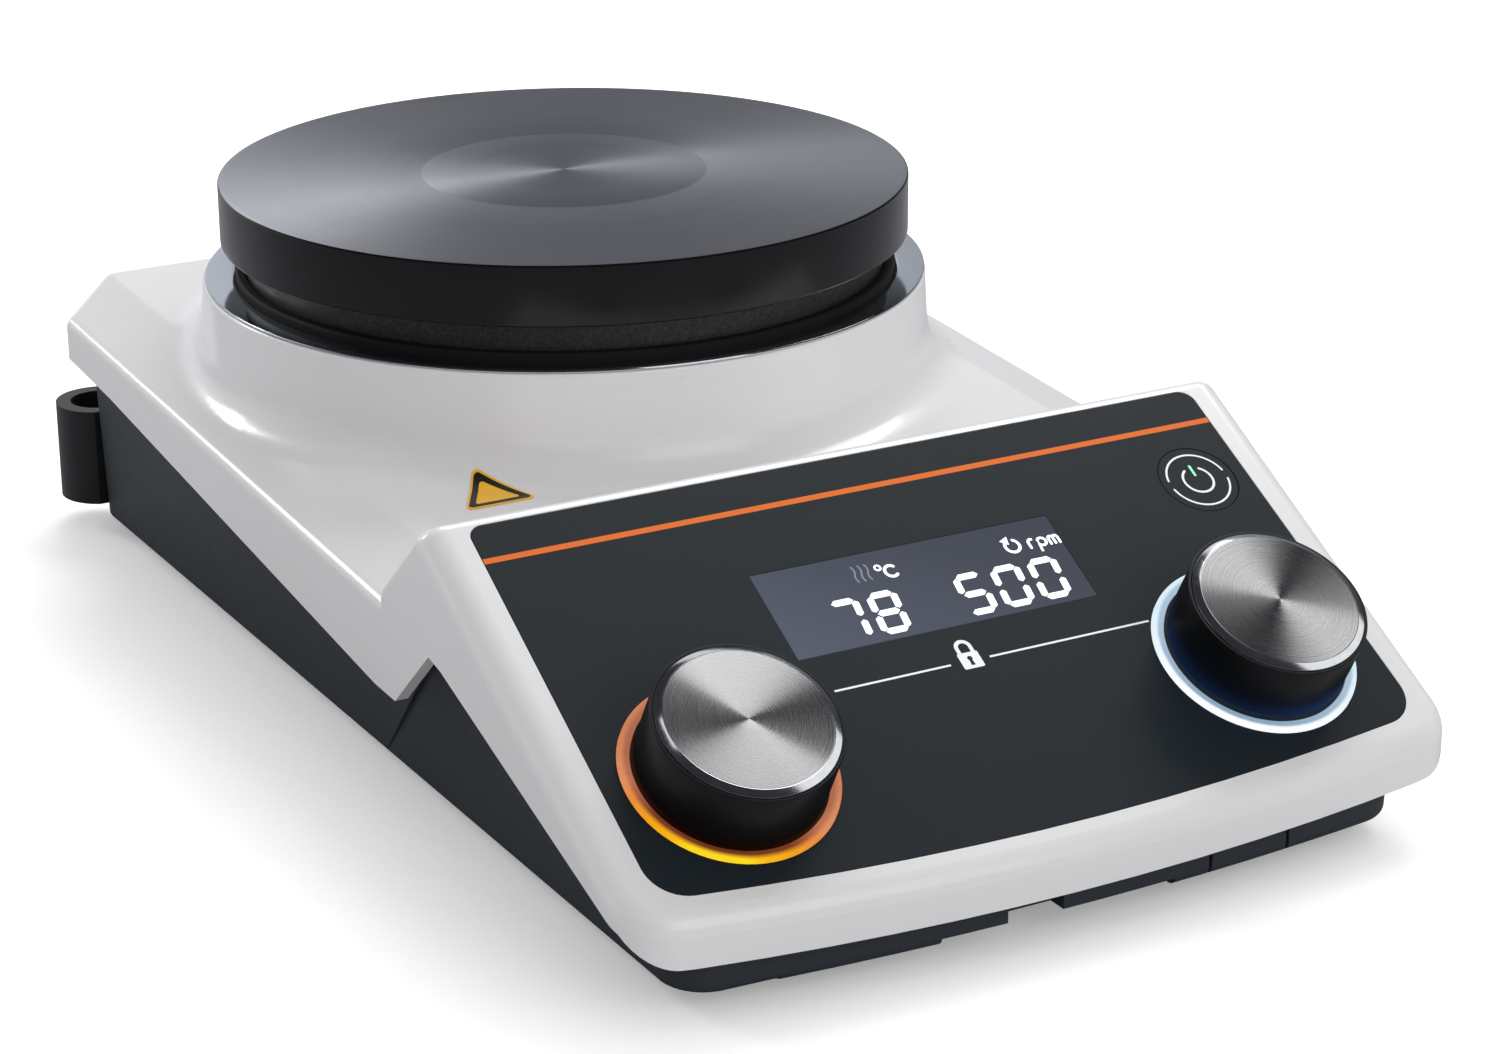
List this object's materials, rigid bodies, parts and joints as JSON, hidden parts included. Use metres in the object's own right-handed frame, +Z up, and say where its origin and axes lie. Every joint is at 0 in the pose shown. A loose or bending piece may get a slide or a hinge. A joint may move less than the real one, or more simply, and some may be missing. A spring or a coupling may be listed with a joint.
{
  "type": "magnetic stirrer",
  "caption": "Hotplate magnetic stirrer with round aluminium heating plate, white housing, sloped dark control panel, display, two lit push-and-turn knobs and power key",
  "frame": {"origin": "centre of the footprint box, on the resting plane of the feet", "axes": "+X to the right as the user faces the control panel, +Y away from the user to the rear connectors, +Z up along the stirring axis"},
  "size_m": [0.174, 0.3018, 0.094],
  "materials": {
    "white_plastic": "smooth moulded white housing plastic with a soft sheen",
    "dark_grey_plastic": "dark blue-grey moulded plastic, fine grain",
    "fascia_film": "dark grey printed front film, satin",
    "display_glass": "dark tinted display window",
    "black_plastic": "black moulded plastic, fine grain",
    "knob_plastic": "black satin knob body",
    "knob_metal": "radially brushed aluminium knob face",
    "ring_plastic": "translucent light guide ring",
    "plate_aluminium": "turned aluminium plate, anodised dark",
    "shield_steel": "dark grey heat resistant coating on steel",
    "polished_steel": "polished steel trim",
    "zinc_steel": "zinc plated steel sheet and fasteners",
    "shaft_steel": "ground steel shaft",
    "motor_iron": "laminated and cast motor iron",
    "copper_coil": "enamelled copper winding",
    "magnet_nickel": "nickel plated magnet",
    "heat_element": "flat heating element on mica",
    "insulation_wool": "pressed mineral wool disc",
    "soft_rubber": "black soft rubber",
    "board_green": "glass fibre circuit board",
    "connector_white": "natural nylon connector",
    "cable_jacket": "flexible cable jacket",
    "sink_aluminium": "extruded aluminium",
    "fuse_glass": "glass fuse tube with metal caps",
    "contact_brass": "plated brass contact",
    "label_yellow": "yellow caution triangle film"
  },
  "bodies": {
    "housing": {"base_tub": "dark_grey_plastic", "board_connectors": "connector_white", "capacitors": "black_plastic", "chassis_plate": "zinc_steel", "contact_pins": "contact_brass", "display_board": "board_green", "display_window": "display_glass", "element_clamp": "zinc_steel", "encoder_body_left": "zinc_steel", "encoder_body_right": "zinc_steel", "fascia_panel": "fascia_film", "heat_shield": "shield_steel", "heat_sink": "sink_aluminium", "heating_element": "heat_element", "heating_plate": "plate_aluminium", "insulation_disc": "insulation_wool", "key_switch": "black_plastic", "large_screws": "zinc_steel", "lcd_module": "black_plastic", "light_ring_left": "ring_plastic", "light_ring_right": "ring_plastic", "main_board": "board_green", "mains_inlet": "black_plastic", "medium_screws": "zinc_steel", "motor_bearings": "shaft_steel", "motor_bracket": "sink_aluminium", "motor_stator": "motor_iron", "plate_sensors": "shaft_steel", "plate_standoffs": "zinc_steel", "power_triac": "black_plastic", "ribbon_cable": "cable_jacket", "rod_socket": "dark_grey_plastic", "rubber_feet": "soft_rubber", "sensor_socket": "black_plastic", "shield_seal": "soft_rubber", "small_screws": "zinc_steel", "stator_coils": "copper_coil", "top_cover": "white_plastic", "transformer": "motor_iron", "triangle_label": "label_yellow", "trim_ring": "polished_steel", "wiring_harness": "cable_jacket"},
    "stir_rotor": {"motor_shaft": "shaft_steel", "rotor_cup": "motor_iron", "rotor_magnet_ring": "magnet_nickel", "magnet_carrier": "black_plastic", "drive_magnets": "magnet_nickel", "carrier_screws": "zinc_steel"},
    "left_push": {"encoder_plunger_left": "black_plastic"},
    "left_dial": {"encoder_shaft_left": "shaft_steel", "knob_left": "knob_plastic", "knob_cap_left": "knob_metal"},
    "right_push": {"encoder_plunger_right": "black_plastic"},
    "right_dial": {"encoder_shaft_right": "shaft_steel", "knob_right": "knob_plastic", "knob_cap_right": "knob_metal"},
    "power_button": {"power_key": "fascia_film"},
    "fuse_tray": {"fuse_drawer": "black_plastic", "fuses": "fuse_glass"},
    "rod_clamp": {"rod_clamp_screw": "black_plastic"}
  },
  "joints": [
    {"name": "rotor_spin", "type": "hinge", "parent": "housing", "child": "stir_rotor", "pos_m": [0, 0.0483, 0.05], "axis": [0, 0, 1], "continuous": true},
    {"name": "left_press", "type": "slide", "parent": "housing", "child": "left_push", "axis": [0, 0.4912, -0.871], "range_m": [0, 0.0005]},
    {"name": "left_turn", "type": "hinge", "parent": "left_push", "child": "left_dial", "pos_m": [-0.05567, -0.12297, 0.03399], "axis": [0, -0.4912, 0.871], "continuous": true},
    {"name": "right_press", "type": "slide", "parent": "housing", "child": "right_push", "axis": [0, 0.4912, -0.871], "range_m": [0, 0.0005]},
    {"name": "right_turn", "type": "hinge", "parent": "right_push", "child": "right_dial", "pos_m": [0.05567, -0.12297, 0.03399], "axis": [0, -0.4912, 0.871], "continuous": true},
    {"name": "power_press", "type": "slide", "parent": "housing", "child": "power_button", "axis": [0, 0.4912, -0.871], "range_m": [0, 0.0004]},
    {"name": "fuse_slide", "type": "slide", "parent": "housing", "child": "fuse_tray", "axis": [0, 1, 0], "range_m": [0, 0.018]},
    {"name": "rod_clamp_turn", "type": "hinge", "parent": "housing", "child": "rod_clamp", "pos_m": [-0.0608, 0.1413, 0.0175], "axis": [1, 0, 0], "continuous": true}
  ]
}
